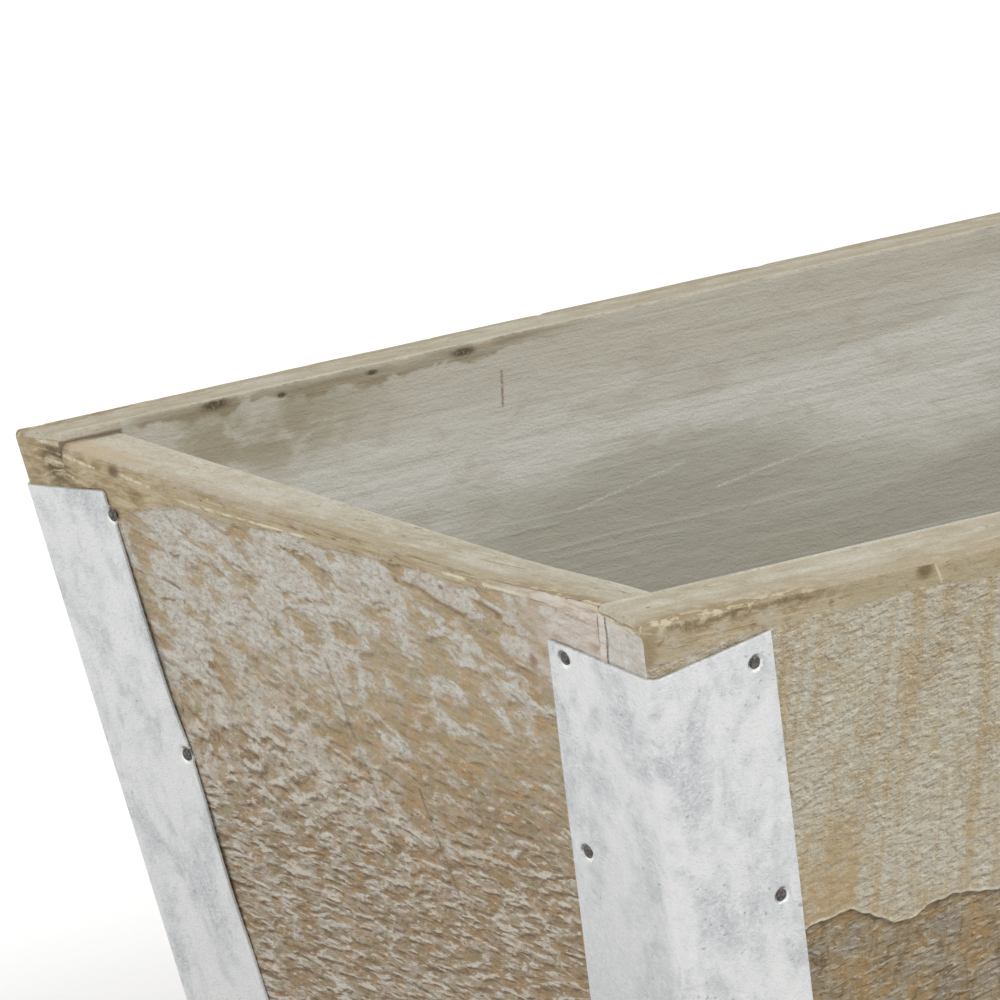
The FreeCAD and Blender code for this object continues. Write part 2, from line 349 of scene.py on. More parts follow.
def worn_band(s, kind, place, fine, patch, chip, meet, pink, ochre, splinter_and_highlight):
    """The smooth worn band under the rim."""
    along, down, _ = s.split(place)
    hair = s.noise(place, (11, 0.6, 1.1), 3.0, 0.62, 0.2, (0, 31, 0))
    olive = s.ramp(hair, (0.32, (0.3, 0.225, 0.125)), (0.47, (0.395, 0.315, 0.195)),
                   (0.62, (0.48, 0.405, 0.275)))
    olive = s.blend(s.span(patch, 0.42, 0.66, 0.0, 0.75), olive, (0.455, 0.41, 0.315))
    olive = s.layers(
        olive,
        (chip, 0.57, 0.68, 0.75, (0.215, 0.14, 0.075)),
        (chip, 0.4, 0.31, 0.7, (0.56, 0.49, 0.35)),
    )
    if kind == "end":
        olive = s.layers(
            olive,
            # the splinter line, partly a painted highlight
            (splinter_and_highlight, (0.76, 0.68, 0.5)),
            (s.span(along + patch * 24.0, 54, 34, 0.0, 0.9), pink),
            (s.span(along, 108, 122), ochre),
        )
    if kind == "front":
        dark_run = s.span(along, 44, 30) * s.span(down + patch * 6.0, 5.4, 3.6)
        olive = s.layers(
            olive,
            (dark_run * s.span(fine, 0.36, 0.56, 0.6, 0.95), (0.2, 0.145, 0.075)),
            (down, 2.5, 6.0, 0.6, (0.43, 0.37, 0.25)),
            (s.span(along, 34, 42) * 0.6, (0.37, 0.31, 0.195)),
            # painted shade in the nick in the rim
            (s.spot(along, down, *NICK_SHADE), (0.19, 0.14, 0.07)),
        )
        edge = s.span(along + meet * 3.0, 5.0, 3.2) * 0.75
        olive = s.blend(edge, olive, (0.31, 0.24, 0.14))
        # Painted highlight on the nick's lit edge
        nick_highlight = s.line(along, down, *NICK_HIGHLIGHT) * s.span(fine, 0.36, 0.56, 0.2, 0.8)
        olive = s.blend(nick_highlight, olive, (0.62, 0.56, 0.43))
    return olive


def rim_top(s, kind, place, across, fine, broad, patch, chip, meet):
    """The rim: light and smooth with faint grain, stained in places, with a painted highlight along its
    inner edge.
    """
    along, down, deep = s.split(place)
    sawn = s.noise(place, (7.0, 3.0, 2.0), 4.0, 0.68, 0.3, (21, 0, 4))
    top = s.ramp(sawn, (0.3, (0.38, 0.33, 0.235)), (0.46, (0.45, 0.405, 0.305)), (0.56, (0.5, 0.465, 0.37)),
                 (0.7, (0.57, 0.545, 0.46)))
    top = s.blend(s.span(broad, 0.42, 0.62, 0.0, 0.55), top, (0.57, 0.55, 0.475))
    outward = s.span(deep + (sawn - 0.5) * 9.0, 4.6, 1.4)
    top = s.layers(
        top,
        (outward * 0.6, (0.39, 0.31, 0.19)),
        # lighter at the inner edge: a painted highlight on the crisp inner arris
        (deep, 9.6, 11.2, 0.45, (0.62, 0.59, 0.5)),
    )
    if kind == "end":
        top = s.layers(
            top,
            (along, 70, 125, 0.4, (0.64, 0.605, 0.52)),
            (s.line(along, deep, *RIM_CHECK) * 0.6, (0.2, 0.15, 0.1)),
        )
    top = s.layers(
        top,
        (chip, 0.62, 0.72, 0.7, (0.25, 0.18, 0.105)),
        (fine, 0.42, 0.66, 0.32, (0.32, 0.265, 0.185)),
        (fine, 0.44, 0.34, 0.3, (0.66, 0.625, 0.54)),
    )
    arris = s.span(deep, 3.4, 1.4) * s.span(down, 2.2, 0.8)
    by_corner = s.span(across if kind == "end" else along, 40, 22, 0.12, 1.0)
    cream = arris * by_corner * s.span(chip, 0.5, 0.6)
    hollow = s.span(deep + patch * 9.0, 9.0, 6.2) * by_corner
    top = s.layers(
        top,
        (hollow * 0.75, (0.29, 0.215, 0.12)),
        (meet, 0.5, 0.62, 0.35, (0.4, 0.33, 0.215)),
        (cream * 0.65, (0.62, 0.54, 0.385)),
    )
    if kind == "end":
        top = s.layers(
            top,
            (s.span(along, 138.6, 140.0) * 0.8, (0.13, 0.095, 0.06)),
            (s.span(along, 118, 132) * s.span(deep, 8.0, 3.0, 0.0, 0.6), (0.52, 0.405, 0.27)),
        )
    return top, cream, sawn


def inside(s, kind, place, fine, top, pink):
    """The inner face: planed and greyed, with painted shade: light in a band under the rim, darker down
    into the box.
    """
    along, down, _ = s.split(place)
    lines = s.noise(place, (55, 1.1, 55), 4.0, 0.65, 0.25, (5, 90, 0))
    haze = s.noise(place, (46, 10, 46), 4.0, 0.55, 0.5, (80, 10, 0))
    cloud = s.noise(place, (9, 6, 9), 4.0, 0.6, 0.4, (15, 60, 0))
    # Painted shade: the ramp darkens the face with depth below the rim, with the haze noise making it
    # uneven
    shade = (haze - 0.5) * 34.0 + down
    if kind == "back":
        # A spot of deeper painted shade
        shade = shade + s.spot(along, down, *DEEPER_SHADE_SPOT) * 9.0
    grey = s.ramp(s.span(shade, 2, 82), (0.0, (0.54, 0.51, 0.43)), (0.07, (0.655, 0.64, 0.585)),
                  (0.15, (0.665, 0.655, 0.6)), (0.24, (0.535, 0.52, 0.455)), (0.36, (0.44, 0.425, 0.36)),
                  (1.0, (0.405, 0.39, 0.32)))
    grey = s.layers(
        grey,
        (lines, 0.5, 0.36, 0.28, (0.42, 0.39, 0.31)),
        (lines, 0.54, 0.7, 0.3, (0.69, 0.685, 0.64)),
        (fine, 0.4, 0.7, 0.18, (0.4, 0.375, 0.31)),
        (cloud, 0.52, 0.68, 0.35, (0.455, 0.405, 0.325)),
    )
    if kind == "back":
        stain = s.spot(along, down, *DAMP_STAIN) * s.span(cloud, 0.34, 0.56)
        grey = s.blend(stain * 0.75, grey, (0.34, 0.295, 0.195))
        strip = down - (cloud - 0.3) * 8.0
        strip = s.span(strip, 1.2, 0.2) * (s.span(along, 112, 88) * s.span(along, 12, 18))
        grey = s.blend(strip * s.span(lines, 0.36, 0.6, 0.9, 0.5), grey, (0.29, 0.235, 0.15))
        chips = s.marks(along, down, spots=CHIPS)
        grey = s.blend(chips * s.span(fine, 0.3, 0.5), grey, (0.11, 0.085, 0.055))
        scratch = s.marks(along, down, lines=SCRATCHES)
        grey = s.blend(scratch * s.span(fine, 0.4, 0.6, 0.1, 0.5), grey, (0.76, 0.75, 0.7))
        nick = s.line(along, down, *RED_SCRATCH)
        grey = s.blend(nick * s.span(fine, 0.36, 0.55, 0.3, 0.8), grey, (0.24, 0.13, 0.09))
    # The strip over the end boards' rims carries on the rim's tone down to a dark joint
    over_end = s.largest(s.span(along, 13.0, 12.2), s.span(along, LENGTH - 13.0, LENGTH - 12.2))
    if kind == "back":
        strip_tone = s.blend(s.span(down, 0.9, 1.5, 0.0, 0.85), top, (0.15, 0.11, 0.07))
        grey = s.blend(over_end, grey, strip_tone)
    if kind == "front":
        grey = s.blend(over_end, grey, pink)
    return grey, lines


def end_grain(s, kind, place, fine, patch, chip, meet, pink, ochre):
    """The long boards' end grain, with the dark crack beside the near corner."""
    along, down, deep = s.split(place)
    ring = s.noise(s.join(down, along * 0.01, deep), (3.6, 1.0, 2.0), 4.0, 0.68, 0.8)
    if kind == "back":
        cut = s.blend(s.span(ring, 0.36, 0.6, 0.35, 0.0), ochre, (0.25, 0.19, 0.11))
    else:
        cut = s.ramp(ring, (0.28, (0.48, 0.435, 0.375)), (0.44, (0.58, 0.555, 0.51)),
                     (0.62, (0.65, 0.635, 0.6)))
        cut = s.layers(
            cut,
            (fine, 0.42, 0.68, 0.45, (0.4, 0.35, 0.29)),
            (patch, 0.46, 0.66, 0.45, (0.47, 0.42, 0.355)),
            (meet, 0.5, 0.38, 0.45, (0.4, 0.36, 0.31)),
        )
        # The joint with the end board lies a little outside this board's inner face
        joint = deep - (down * 0.02 + SHOWN_JOINT)
        joint = joint + (patch - 0.5) * 0.6
        cut = s.blend(s.span(joint, 0.1, 0.4), cut, pink)
        crack = s.span(joint, -0.4, 0.05) * s.span(joint, 0.4, 0.05)
        cut = s.blend(crack * s.span(fine, 0.3, 0.6, 0.5, 0.95), cut, (0.13, 0.1, 0.09))
        worn = s.span(down + chip * 5.0, 5.4, 3.6)
        frayed = s.ramp(meet, (0.38, (0.26, 0.19, 0.11)), (0.5, (0.42, 0.34, 0.22)),
                        (0.6, (0.66, 0.59, 0.44)))
        cut = s.blend(worn * 0.9, cut, frayed)
    return cut


def emboss(s, place, size, shift, detail=3.0, rough=0.62, distortion=0.2, start=(0, 0, 0)):
    """Noise, and how far it falls away downwards: fibres standing up catch light and drop shadow."""
    here = s.noise(place, size, detail, rough, distortion, start)
    below = s.noise(place, size, detail, rough, distortion, tuple(a + b for a, b in zip(start, shift)))
    return here, below - here


def end_outside(s, place, along, down, fine, broad, patch, pink):
    """End boards: grey-white flakes on tan wood above, browner with thin pale saw dashes below, with
    painted highlights and shadows on the flakes and painted shadow under the dashes.
    """
    skewed = s.join(along, down + along * s.span(down, 20, 60, 0.1, -0.03), 0.0)
    blotch = s.noise(skewed, (10.0, 6.0, 1.0), 4.0, 0.58, 0.5)
    grime = s.noise(place, (1.3, 1.0, 1.3), 3.0, 0.7, 0.0, (9, 1, 0))
    large, large_fall = emboss(s, skewed, (8.6, 4.6, 1.0), (0.32, -0.62, 0), 4.0, 0.62, 0.6, (8, 3, 0))
    small, small_fall = emboss(s, skewed, (4.6, 2.1, 1.0), (0.25, -0.55, 0), 4.0, 0.64, 0.4, (8, 3, 0))
    mid_line = down + (broad - 0.5) * 70.0
    lower = s.span(mid_line, 24, 50)
    flake = (small - large) * lower + large
    fall = (small_fall - large_fall) * lower + large_fall
    dash, drop = emboss(s, skewed, (4.0, 1.15, 1.0), (0.15, -0.38, 0), 3.0, 0.6, 0.3)
    tan = s.ramp(broad, (0.34, (0.4, 0.29, 0.165)), (0.5, (0.45, 0.355, 0.215)),
                 (0.64, (0.44, 0.37, 0.245)))
    orange = s.noise(place, (5.0, 3.0, 5.0), 3.0, 0.6, 0.4, (70, 20, 0))
    tan = s.layers(
        tan,
        (orange, 0.53, 0.62, 0.8, (0.5, 0.345, 0.185)),
        (orange, 0.46, 0.36, 0.7, (0.4, 0.35, 0.25)),
    )
    rosy = s.noise(place, (2.8, 1.9, 2.8), 3.0, 0.62, 0.5, (31, 44, 0))
    tan = s.layers(
        tan,
        (rosy, 0.52, 0.64, 0.75, (0.43, 0.34, 0.27)),
        (rosy, 0.46, 0.34, 0.6, (0.345, 0.285, 0.16)),
    )
    low = s.span(down + (broad - 0.5) * 60.0, 26, 58)
    tan = s.blend(low * 0.65, tan, (0.3, 0.205, 0.115))
    # How much wash is left: most at the far upper part, little in a smooth patch near the near corner
    left = s.span(along, 20, 120, -0.03, 0.035)
    bare = s.spot(along, down, *BARE_PATCH) * 0.09
    chips = (1.0 - lower) * 0.22
    cover = blotch * 0.45 + flake * 0.75
    cover = cover + (large - 0.5) * chips
    cover = cover + left + s.span(down, 20, 66, 0.015, -0.045)
    cover = cover + (patch - 0.5) * 0.2 - bare
    crisp = s.span(cover, 0.58, 0.62) * 0.62 + s.span(cover, 0.5, 0.7) * 0.38
    washed = s.blend(lower, crisp, s.span(cover, 0.54, 0.74) * 0.66)
    wash = s.ramp(fine, (0.3, (0.51, 0.495, 0.435)), (0.5, (0.635, 0.63, 0.58)),
                  (0.7, (0.715, 0.715, 0.68)))
    haze = s.span(cover, 0.5, 0.62, 0.0, 0.35)
    colour = s.blend(haze, tan, (0.52, 0.475, 0.385))
    wash = s.layers(
        wash,
        (rosy, 0.47, 0.6, 0.55, (0.52, 0.44, 0.37)),
        (grime, 0.48, 0.62, 0.55, (0.43, 0.35, 0.28)),
    )
    colour = s.blend(washed * s.span(patch, 0.36, 0.6, 0.7, 1.0), colour, wash)
    tints = ((s.span(orange, 0.52, 0.62), (0.43, 0.27, 0.135)),
             (s.span(orange, 0.46, 0.36), (0.33, 0.295, 0.17)),
             (s.span(rosy, 0.52, 0.64), (0.5, 0.415, 0.36)))
    for mask, tint in tints:
        colour = s.blend(mask * (lower * 0.38 + 0.12), colour, tint)
    # Painted shadow under the small flakes, and a painted highlight on their upward-facing edges
    flake_edge_shade = s.span(small_fall, 0.04, 0.15) * (lower * 0.3 + 0.16)
    colour = s.layers(
        colour,
        (flake_edge_shade, (0.27, 0.19, 0.135)),
        (s.span(small_fall, -0.04, -0.15) * (lower * 0.25 + 0.2), (0.73, 0.7, 0.64)),
    )
    # Painted shadow below the flakes, and a painted highlight where they face up
    flake_shadow = s.span(fall, 0.035, 0.16) * s.span(bare, 0.07, 0.0, 0.25, 0.72)
    colour = s.layers(
        colour,
        (flake_shadow, (0.225, 0.155, 0.105)),
        (fall, -0.05, -0.17, 0.45, (0.68, 0.655, 0.59)),
    )
    thin = dash + (patch - 0.5) * 0.25
    light = s.span(thin, 0.55, 0.63) * s.span(down, 14, 52, 0.15, 0.8)
    light = light * s.span(bare, 0.07, 0.0, 0.2, 1.0)
    colour = s.blend(light, colour, (0.68, 0.64, 0.56))
    # Painted shadow under each pale saw dash
    dark = s.span(drop, 0.05, 0.17) * s.span(down, 14, 52, 0.15, 0.72)
    colour = s.layers(
        colour,
        (dark, (0.17, 0.115, 0.075)),
        (grime, 0.52, 0.7, 0.35, (0.3, 0.24, 0.16)),
        (fine, 0.52, 0.72, 0.3, (0.22, 0.16, 0.1)),
    )
    scores = s.marks(along, down, lines=SCORES)
    colour = s.blend(scores * s.span(fine, 0.4, 0.62, 0.0, 0.45), colour, (0.21, 0.14, 0.095))
    pale = s.span(along + patch * 30.0, 52, 34) * s.span(down, 20, 6)
    colour = s.blend(pale * 0.85, colour, pink)
    # Pale splinters along the rim, drawn partly as a painted highlight line
    splinter_and_highlight = s.marks(along, down, lines=PALE_SPLINTERS_AND_HIGHLIGHTS)
    splinter_and_highlight = splinter_and_highlight * s.span(small, 0.4, 0.54, 0.0, 0.85)
    colour = s.blend(splinter_and_highlight, colour, (0.76, 0.68, 0.5))
    specks = s.marks(along, down, spots=SPECKS)
    colour = s.blend(specks * 0.7, colour, (0.26, 0.13, 0.065))
    relief = flake + dash * s.span(down, 10, 50, 0.3, 0.9)
    relief = relief + fine * 0.3
    return colour, relief - scores * 0.3, splinter_and_highlight


def side_outside(s, place, fine, patch, torn):
    """Long boards: beige with soft upright bands and rippled fibres, with painted highlights and shadows on
    the ripples; browner below a torn layer, with a painted shadow under its edge.
    """
    along, down, deep = s.split(place)
    upright = s.noise(place, (6, 30, 6), 4.0, 0.6, 0.3)
    stripe = s.noise(place, (3.6, 60, 3.6), 3.0, 0.55, 0.2, (13, 0, 0))
    slanted = s.join(down * 0.1 + along, along * 0.13 + down, deep)
    ripple, fall = emboss(s, slanted, (2.6, 1.2, 2.1), (0.12, -0.34, 0), 4.0, 0.64, 0.5)
    colour = s.ramp(upright, (0.34, (0.385, 0.305, 0.18)), (0.48, (0.475, 0.405, 0.272)),
                    (0.62, (0.54, 0.492, 0.375)))
    colour = s.blend(s.span(stripe, 0.47, 0.64, 0.0, 0.8), colour, (0.445, 0.338, 0.188))
    rippled = s.span(patch, 0.4, 0.56) * s.span(stripe, 0.6, 0.5, 0.35, 1.0)
    colour = s.blend(rippled * 0.6, colour, (0.54, 0.515, 0.43))
    mottle = s.noise(place, (2.2, 3.0, 2.2), 4.0, 0.66, 0.3, (6, 60, 0))
    fibrous = s.noise(place, (12, 1.4, 12), 3.0, 0.6, 1.2, (17, 5, 0))
    colour = s.layers(
        colour,
        (mottle, 0.53, 0.66, 0.4, (0.38, 0.295, 0.18)),
        (mottle, 0.46, 0.35, 0.4, (0.56, 0.535, 0.445)),
    )
    lit = s.span(fall, -0.02, -0.15) * (rippled * 0.5 + 0.08)
    shaded = s.span(fall, 0.02, 0.18) * (rippled * 0.42 + 0.06)
    colour = s.layers(
        colour,
        (lit, (0.68, 0.655, 0.575)),
        (shaded, (0.24, 0.175, 0.105)),
    )
    # Painted highlight where the fine ripples face up and painted shade where they face down
    _, slope = emboss(s, slanted, (1.3, 0.8, 1.3), (0.1, -0.22, 0), 4.0, 0.7, 0.6, (60, 3, 0))
    colour = s.layers(
        colour,
        (slope, -0.03, -0.15, 0.68, (0.69, 0.655, 0.57)),
        (slope, 0.03, 0.16, 0.66, (0.24, 0.175, 0.105)),
    )
    relief = ripple * 1.2 + upright * 0.4
    for place_at, radius in SIDE_KNOTS:
        halo = s.spot(along, down, place_at, tuple(2.1 * r for r in radius))
        colour = s.blend(halo * s.span(fibrous, 0.4, 0.62, 0.1, 0.6), colour, (0.4, 0.27, 0.15))
        heart = s.spot(along, down, place_at, radius) * s.span(mottle, 0.34, 0.52, 0.45, 1.0)
        colour = s.blend(heart * 0.85, colour, (0.15, 0.085, 0.05))
    if torn:
        step = s.attribute("step", "Fac")
        fibre = s.noise(place, (2.4, 6, 2.4), 4.0, 0.68, 0.5, (2, 2, 0))
        dash, drop = emboss(s, slanted, (2.4, 0.95, 2.4), (0.1, -0.28, 0), 3.0, 0.62, 0.5, (30, 0, 0))
        lower = s.ramp(fibre, (0.32, (0.19, 0.13, 0.07)), (0.47, (0.3, 0.225, 0.13)),
                       (0.62, (0.4, 0.33, 0.22)))
        rust = s.noise(place, (7.0, 6.0, 7.0), 3.0, 0.6, 0.5, (50, 9, 0))
        lower = s.layers(
            lower,
            (rust, 0.5, 0.6, 0.75, (0.4, 0.265, 0.125)),
            (rust, 0.48, 0.38, 0.7, (0.33, 0.28, 0.225)),
        )
        tufted = s.span(patch, 0.4, 0.6, 0.35, 1.0)
        lower = s.layers(
            lower,
            (s.span(dash, 0.52, 0.68, 0.0, 0.7) * tufted, (0.54, 0.5, 0.42)),
            # painted highlight above and painted shadow below each fibre
            (drop, -0.04, -0.18, 0.45, (0.62, 0.585, 0.51)),
            (drop, 0.04, 0.2, 0.6, (0.12, 0.08, 0.05)),
        )
        above = s.span(step, -24, -3) * s.span(upright, 0.62, 0.44)
        colour = s.blend(above * s.span(mottle, 0.36, 0.56, 0.45, 0.9), colour, (0.47, 0.35, 0.195))
        under = s.span(step, -0.15, 0.15)
        colour = s.blend(under, colour, lower)
        # Pale frayed fibres along the torn edge, partly a painted highlight on its proud lip
        pale_lip_and_highlight = s.span(step, -0.8, -0.25) * s.span(step, 0.1, -0.05)
        pale_lip_and_highlight = pale_lip_and_highlight * s.span(mottle, 0.36, 0.54, 0.05, 0.85)
        colour = s.blend(pale_lip_and_highlight, colour, (0.66, 0.61, 0.49))
        # Painted shadow just below the torn layer's edge
        tear_shadow = s.span(step, 0.0, 0.3) * s.span(step, 1.5, 0.4)
        colour = s.blend(tear_shadow * 0.4, colour, (0.12, 0.08, 0.05))
        relief = relief + under * (dash * 0.9)
    colour = s.blend(s.span(fine, 0.55, 0.74, 0.0, 0.35), colour, (0.2, 0.15, 0.09))
    return colour, relief


def sheet_metal():
    """Galvanised sheet: pale zinc with blue-grey mottling, lighter hazy bands of painted sheen, fine grit
    with painted highlights and shade, pits, and a painted highlight and shade at each nail dimple.
    """
    s = Shader("galvanised")
    place = s.attribute("strap")
    across, down, _ = s.split(place)
    blotch = s.noise(place, (3.4, 4.2, 3.4), 5.0, 0.68, 0.4)
    haze = s.noise(place, (9, 16, 9), 4.0, 0.6, 0.5, (11, 5, 0))
    speck = s.noise(place, (0.75, 0.65, 0.75), 4.0, 0.75, 0.2)
    grit, fall = emboss(s, place, (0.8, 0.7, 0.8), (0.1, -0.16, 0), 3.0, 0.7, 0.2, (4, 4, 0))
    pit = s.noise(place, (1.1, 0.9, 1.1), 3.0, 0.7, 0.3, (5, 9, 0))
    colour = s.ramp(blotch, (0.34, (0.56, 0.577, 0.588)), (0.48, (0.665, 0.678, 0.683)),
                    (0.62, (0.75, 0.756, 0.752)))
    # Lighter hazy bands down the strap: a painted sheen
    colour = s.blend(s.span(haze, 0.44, 0.62, 0.0, 0.75), colour, (0.79, 0.797, 0.79))
    dull = s.span(haze, 0.5, 0.36) * s.span(speck, 0.42, 0.58)
    colour = s.layers(
        colour,
        (dull * 0.6, (0.44, 0.465, 0.49)),
        # painted shade below and painted highlight above each grain of grit
        (fall, 0.03, 0.15, 0.38, (0.43, 0.445, 0.465)),
        (fall, -0.04, -0.15, 0.4, (0.86, 0.865, 0.86)),
    )
    pitted = s.span(pit, 0.63, 0.71) * s.span(haze, 0.6, 0.42)
    colour = s.blend(pitted * 0.65, colour, (0.3, 0.31, 0.33))
    fold = s.span(s.math("ABSOLUTE", across), 3.2, 0.3)
    colour = s.blend(fold * s.span(blotch, 0.36, 0.6, 0.1, 0.6), colour, (0.8, 0.805, 0.8))
    near_end = s.span(across, -1, -4) * (s.span(down, -875, -815) * s.span(down, -770, -780))
    colour = s.blend(near_end * s.span(speck, 0.36, 0.62, 0.35, 0.9), colour, (0.54, 0.555, 0.555))
    # Painted highlight and painted shade on the rim of each nail dimple
    dimple_highlight_and_shade = s.attribute("dimple", "Fac")
    colour = s.layers(
        colour,
        (s.span(dimple_highlight_and_shade, 0.15, 0.7), (0.93, 0.93, 0.91)),
        (dimple_highlight_and_shade, -0.15, -0.7, 0.85, (0.15, 0.145, 0.145)),
    )
    s.put(s.shader, "Metallic", 0.45)
    relief = grit * 0.8 + blotch
    relief = relief - pitted * 0.5
    return s.finish(colour, s.span(blotch, 0.3, 0.7, 0.66, 0.5), relief, 0.0003)


def dark_steel(name, light, dark, metallic=0.7):
    """Nail and brad steel with a rubbed, darkened surface."""
    s = Shader(name)
    place = s.add("TexCoord", output="Object")
    mottle = s.noise(place, (0.0004, 0.0004, 0.0004), 3.0, 0.6)
    s.put(s.shader, "Metallic", metallic)
    colour = s.ramp(mottle, (0.35, dark), (0.7, light))
    return s.finish(colour, s.span(mottle, 0.3, 0.7, 0.55, 0.38), mottle, 0.0001)


def base_wood():
    """The planed inside of the base, greyed by use."""
    s = Shader("base_wood")
    place = s.vec("MULTIPLY", s.add("TexCoord", output="Object"), (1 / MM,) * 3)
    grain = s.noise(place, (70, 2.2, 6), 4.0, 0.6, 0.6)
    haze = s.noise(place, (40, 18, 20), 3.0, 0.5, 0.4, (9, 4, 0))
    grit = s.noise(place, (0.5, 0.4, 0.5), 2.0, 0.7)
    colour = s.ramp(grain, (0.3, (0.34, 0.29, 0.205)), (0.5, (0.43, 0.39, 0.3)),
                    (0.7, (0.48, 0.455, 0.385)))
    colour = s.layers(
        colour,
        (haze, 0.42, 0.66, 0.6, (0.5, 0.48, 0.43)),
        (grit, 0.35, 0.7, 0.2, (0.26, 0.2, 0.14)),
    )
    return s.finish(colour, 0.85, grain + grit * 0.3, 0.0004)


# Mesh making

def make_object(name, points, faces, material, smooth_angle=38.0):
    mesh = bpy.data.meshes.new(name)
    mesh.from_pydata([tuple(p) for p in points], [], faces)
    mesh.validate()
    mesh.polygons.foreach_set("use_smooth", [True] * len(mesh.polygons))
    mesh.set_sharp_from_angle(angle=math.radians(smooth_angle))
    mesh.materials.append(material)
    mesh.update()
    piece = bpy.data.objects.new(name, mesh)
    bpy.context.scene.collection.objects.link(piece)
    return piece


def store(piece, name, kind, field, values, domain="POINT"):
    """Keeps values on a mesh for its material to read."""
    values = np.asarray(values, dtype=np.float32).ravel()
    piece.data.attributes.new(name, kind, domain).data.foreach_set(field, values)


def stand_in(piece, node):
    """Shows a piece in place of its solid."""
    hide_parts(node)
    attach(piece, "root")


def stations(length, fine_to, fine, coarse, ends):
    """Places along a board from 0 to its length, close together at first and next to both ends."""
    near = np.arange(fine_to, 0, -fine)[::-1]
    far = np.linspace(fine_to, length, int((length - fine_to) / coarse) + 1)
    places = np.unique(np.concatenate([near, far]).round(4))
    places = places[(places > ends) & (places < length - ends)]
    return places


class Wall:
    """One leaning board. Places on it are along (from the left or near end), down and deep."""

    def __init__(self, name, side, lean, square_top):
        self.name, self.side, self.lean, self.square_top = name, side, lean, square_top
        self.long = side in ("front", "back")
        sign = -1 if side in ("front", "left") else 1
        if self.long:
            self.run = Vector((1, 0, 0))
            self.out = Vector((0, sign * math.cos(lean), -math.sin(lean)))
            self.down = Vector((0, -sign * math.sin(lean), -math.cos(lean)))
            self.origin = Vector((0, sign * WIDTH / 2, HEIGHT))
            self.span = LENGTH
        else:
            self.run = Vector((0, 1, 0))
            self.out = Vector((sign * math.cos(lean), 0, -math.sin(lean)))
            self.down = Vector((-sign * math.sin(lean), 0, -math.cos(lean)))
            self.origin = Vector((sign * LENGTH / 2, 0, HEIGHT))
            self.span = WIDTH

    def half(self, down, deep):
        """Half the board's length at a place on its section."""
        drop = down * math.cos(self.lean) - deep * math.sin(self.lean)
        if self.long:
            return LENGTH / 2 - np.maximum(drop, 0.8) * math.tan(END_LEAN)
        return WIDTH / 2 - (BOARD + JOINT_GAP) / math.cos(SIDE_LEAN) - drop * math.tan(SIDE_LEAN)

    def top(self, deep):
        return 0.0 * deep if self.square_top else deep * math.tan(self.lean)

    def foot(self, deep):
        return (HEIGHT + deep * math.sin(self.lean)) / math.cos(self.lean)

    def world(self, along, down, deep):
        o, r, d, n = (np.array(v) for v in (self.origin, self.run, self.down, self.out))
        return (o + r * along[..., None] + d * down[..., None] - n * deep[..., None]) * MM


